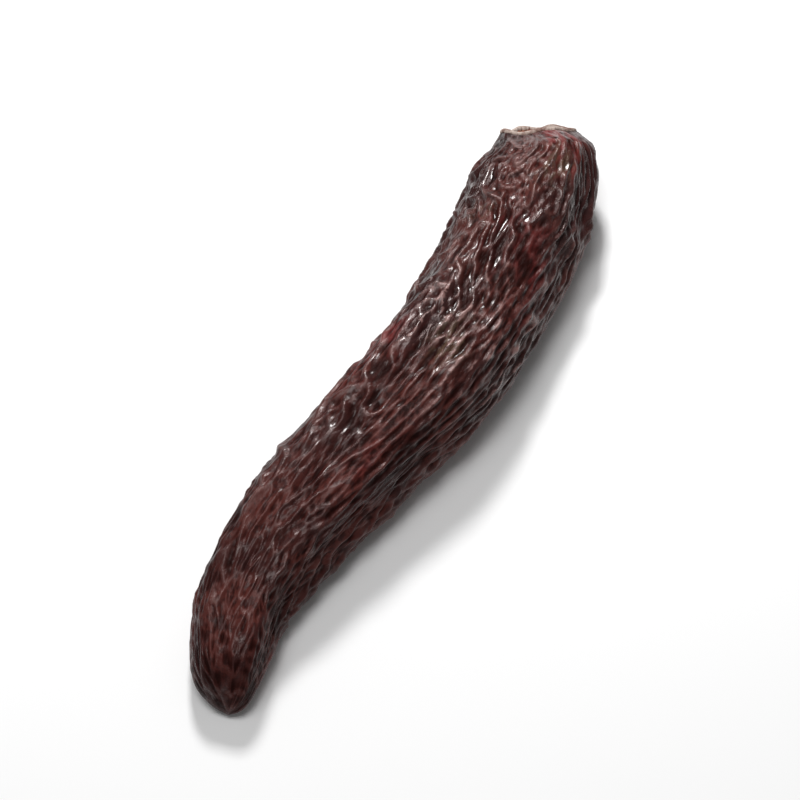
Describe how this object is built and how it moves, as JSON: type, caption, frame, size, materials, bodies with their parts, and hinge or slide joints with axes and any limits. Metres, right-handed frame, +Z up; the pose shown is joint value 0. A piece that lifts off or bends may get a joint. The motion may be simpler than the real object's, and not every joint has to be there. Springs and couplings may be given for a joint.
{
  "type": "dried chilli pod without its stalk",
  "caption": "Long wrinkled dried chilli pod, bent sideways and curled up at the stem end, with an open torn stem hole, lying on its side.",
  "frame": {"origin": "middle of the pod's base, on the surface that it lies on", "axes": "+X along the pod towards its stem end, +Z up, +Y to the side that the pod bends towards near its tip"},
  "size_m": [0.0806, 0.0212, 0.013],
  "materials": {
    "dried_skin": "thin dark red-brown dried skin, wrinkled, leathery with a soft gloss on the crests"
  },
  "bodies": {
    "root": {"pod": "dried_skin"}
  },
  "joints": []
}
